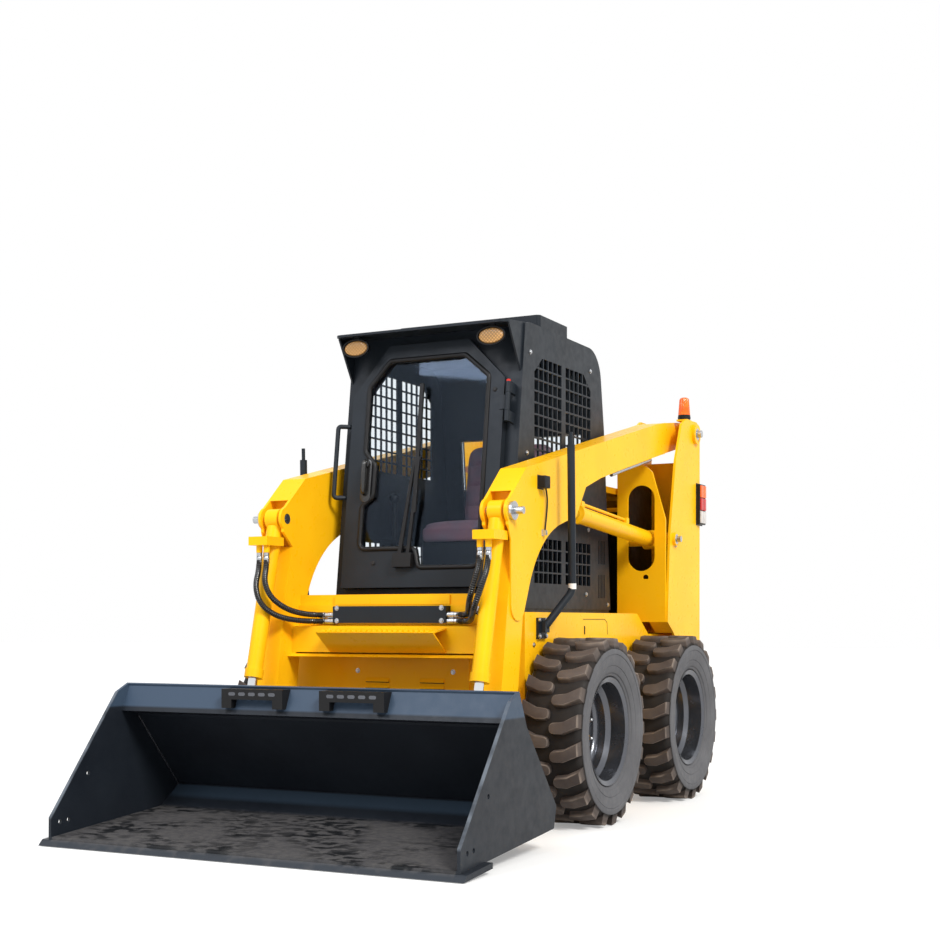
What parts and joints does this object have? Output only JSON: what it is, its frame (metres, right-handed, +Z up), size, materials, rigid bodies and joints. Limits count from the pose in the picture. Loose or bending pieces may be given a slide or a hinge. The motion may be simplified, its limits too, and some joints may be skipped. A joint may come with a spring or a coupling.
{
  "type": "skid steer loader",
  "caption": "Compact wheeled skid steer loader with radial lift arms, hydraulic cylinders, closed cab with hinged door and grilles, and a dirt bucket.",
  "frame": {"origin": "on the ground below the middle of the outline", "axes": "+X to the machine's left, -Y to its front where the bucket is, +Z up"},
  "size_m": [1.772, 3.226, 2.176],
  "materials": {
    "yellow_paint": "gloss",
    "cab_paint": "satin",
    "bucket_paint": "satin",
    "cast_iron": "rough",
    "rim_paint": "satin",
    "tyre_rubber": "matte",
    "hose_rubber": "matte",
    "bright_steel": "brushed",
    "chrome_rod": "polished",
    "clear_glass": "polished",
    "black_plastic": "matte",
    "amber_lens": "gloss",
    "red_lens": "gloss",
    "seat_cover": "matte"
  },
  "bodies": {
    "chassis": {"axles": "cast_iron", "beacon": "amber_lens", "bulkhead": "cab_paint", "cab_shell": "cab_paint", "cab_side_panels": "cab_paint", "chassis_tub": "yellow_paint", "control_levers": "black_plastic", "counterweight": "cast_iron", "engine_block": "cast_iron", "front_cover": "yellow_paint", "posts_and_handrail": "cab_paint", "rear_towers": "yellow_paint", "rear_window": "clear_glass", "roof_box": "cab_paint", "seat": "seat_cover", "tail_lamps": "red_lens", "tower_pins": "bright_steel", "work_lamps": "amber_lens"},
    "lift_arm": {"lift_arms": "yellow_paint", "arm_pins": "bright_steel", "cross_member": "yellow_paint", "step_plate": "yellow_paint", "hose_cover": "cab_paint", "hydraulic_couplers": "bright_steel", "connector_box": "black_plastic", "hose_left_inner": "hose_rubber", "hose_left_outer": "hose_rubber", "hose_right_inner": "hose_rubber", "hose_right_outer": "hose_rubber"},
    "bucket": {"bucket_shell": "bucket_paint", "bucket_steps": "bucket_paint", "bucket_coupler": "bucket_paint"},
    "door": {"door_frame": "cab_paint", "door_glass": "clear_glass", "door_handle": "black_plastic", "wiper": "black_plastic"},
    "rear_door": {"rear_door": "yellow_paint"},
    "hood": {"hood": "yellow_paint"},
    "wheel_front_left": {"tyre_front_left": "tyre_rubber", "rim_front_left": "rim_paint"},
    "wheel_front_right": {"tyre_front_right": "tyre_rubber", "rim_front_right": "rim_paint"},
    "wheel_rear_left": {"tyre_rear_left": "tyre_rubber", "rim_rear_left": "rim_paint"},
    "wheel_rear_right": {"tyre_rear_right": "tyre_rubber", "rim_rear_right": "rim_paint"},
    "lift_barrel_left": {"lift_barrel_left": "yellow_paint"},
    "lift_rod_left": {"lift_rod_left": "chrome_rod"},
    "lift_barrel_right": {"lift_barrel_right": "yellow_paint"},
    "lift_rod_right": {"lift_rod_right": "chrome_rod"},
    "tilt_barrel_left": {"tilt_barrel_left": "yellow_paint"},
    "tilt_rod_left": {"tilt_rod_left": "chrome_rod"},
    "tilt_barrel_right": {"tilt_barrel_right": "yellow_paint"},
    "tilt_rod_right": {"tilt_rod_right": "chrome_rod"}
  },
  "joints": [
    {"name": "lift", "type": "hinge", "parent": "chassis", "child": "lift_arm", "pos_m": [0, 1.469, 1.786], "axis": [-1, 0, 0], "range_deg": [0, 58]},
    {"name": "bucket_tilt", "type": "hinge", "parent": "lift_arm", "child": "bucket", "pos_m": [0, -0.691, 0.21], "axis": [1, 0, 0], "range_deg": [-25, 90]},
    {"name": "door_swing", "type": "hinge", "parent": "chassis", "child": "door", "pos_m": [0.382, -0.33356, 0.87971], "axis": [0, 0.1316, 0.9913], "range_deg": [0, 80]},
    {"name": "rear_door_swing", "type": "hinge", "parent": "chassis", "child": "rear_door", "pos_m": [0.436, 1.549, 0.94], "axis": [0, 0, -1], "range_deg": [0, 100]},
    {"name": "hood_lift", "type": "hinge", "parent": "chassis", "child": "hood", "pos_m": [0, 0.873, 1.49], "axis": [1, 0, 0], "range_deg": [0, 50]},
    {"name": "wheel_front_left_spin", "type": "hinge", "parent": "chassis", "child": "wheel_front_left", "pos_m": [0.688, -0.1185, 0.385], "axis": [1, 0, 0], "continuous": true},
    {"name": "wheel_front_right_spin", "type": "hinge", "parent": "chassis", "child": "wheel_front_right", "pos_m": [-0.688, -0.1185, 0.385], "axis": [1, 0, 0], "continuous": true},
    {"name": "wheel_rear_left_spin", "type": "hinge", "parent": "chassis", "child": "wheel_rear_left", "pos_m": [0.688, 0.9165, 0.385], "axis": [1, 0, 0], "continuous": true},
    {"name": "wheel_rear_right_spin", "type": "hinge", "parent": "chassis", "child": "wheel_rear_right", "pos_m": [-0.688, 0.9165, 0.385], "axis": [1, 0, 0], "continuous": true},
    {"name": "lift_cylinder_swing_left", "type": "hinge", "parent": "chassis", "child": "lift_barrel_left", "pos_m": [0.518, 1.147, 1.238], "axis": [-1, 0, 0], "range_deg": [-1, 58.11]},
    {"name": "lift_cylinder_stroke_left", "type": "slide", "parent": "lift_barrel_left", "child": "lift_rod_left", "axis": [0, -0.9976, 0.0695], "range_m": [-0.002, 0.6179]},
    {"name": "tilt_cylinder_swing_left", "type": "hinge", "parent": "lift_arm", "child": "tilt_barrel_left", "pos_m": [0.518, -0.59, 1.265], "axis": [1, 0, 0], "range_deg": [-1, 1.5], "deforming": ["hose_left_inner", "hose_left_outer"]},
    {"name": "tilt_cylinder_stroke_left", "type": "slide", "parent": "tilt_barrel_left", "child": "tilt_rod_left", "axis": [0, -0.2433, -0.97], "range_m": [-0.064, 0.225]},
    {"name": "lift_cylinder_swing_right", "type": "hinge", "parent": "chassis", "child": "lift_barrel_right", "pos_m": [-0.518, 1.147, 1.238], "axis": [-1, 0, 0], "range_deg": [-1, 58.11]},
    {"name": "lift_cylinder_stroke_right", "type": "slide", "parent": "lift_barrel_right", "child": "lift_rod_right", "axis": [0, -0.9976, 0.0695], "range_m": [-0.002, 0.6179]},
    {"name": "tilt_cylinder_swing_right", "type": "hinge", "parent": "lift_arm", "child": "tilt_barrel_right", "pos_m": [-0.518, -0.59, 1.265], "axis": [1, 0, 0], "range_deg": [-1, 1.5], "deforming": ["hose_right_inner", "hose_right_outer"]},
    {"name": "tilt_cylinder_stroke_right", "type": "slide", "parent": "tilt_barrel_right", "child": "tilt_rod_right", "axis": [0, -0.2433, -0.97], "range_m": [-0.064, 0.225]}
  ],
  "couplings": [
    {"joint": "lift_cylinder_swing_left", "follows": "lift", "ratio": 0.98468},
    {"joint": "lift_cylinder_stroke_left", "follows": "lift", "m_per_rad": 0.60842},
    {"joint": "tilt_cylinder_swing_left", "follows": "bucket_tilt", "ratio": 0.01},
    {"joint": "tilt_cylinder_stroke_left", "follows": "bucket_tilt", "m_per_rad": 0.1419},
    {"joint": "lift_cylinder_swing_right", "follows": "lift", "ratio": 0.98468},
    {"joint": "lift_cylinder_stroke_right", "follows": "lift", "m_per_rad": 0.60842},
    {"joint": "tilt_cylinder_swing_right", "follows": "bucket_tilt", "ratio": 0.01},
    {"joint": "tilt_cylinder_stroke_right", "follows": "bucket_tilt", "m_per_rad": 0.1419}
  ]
}
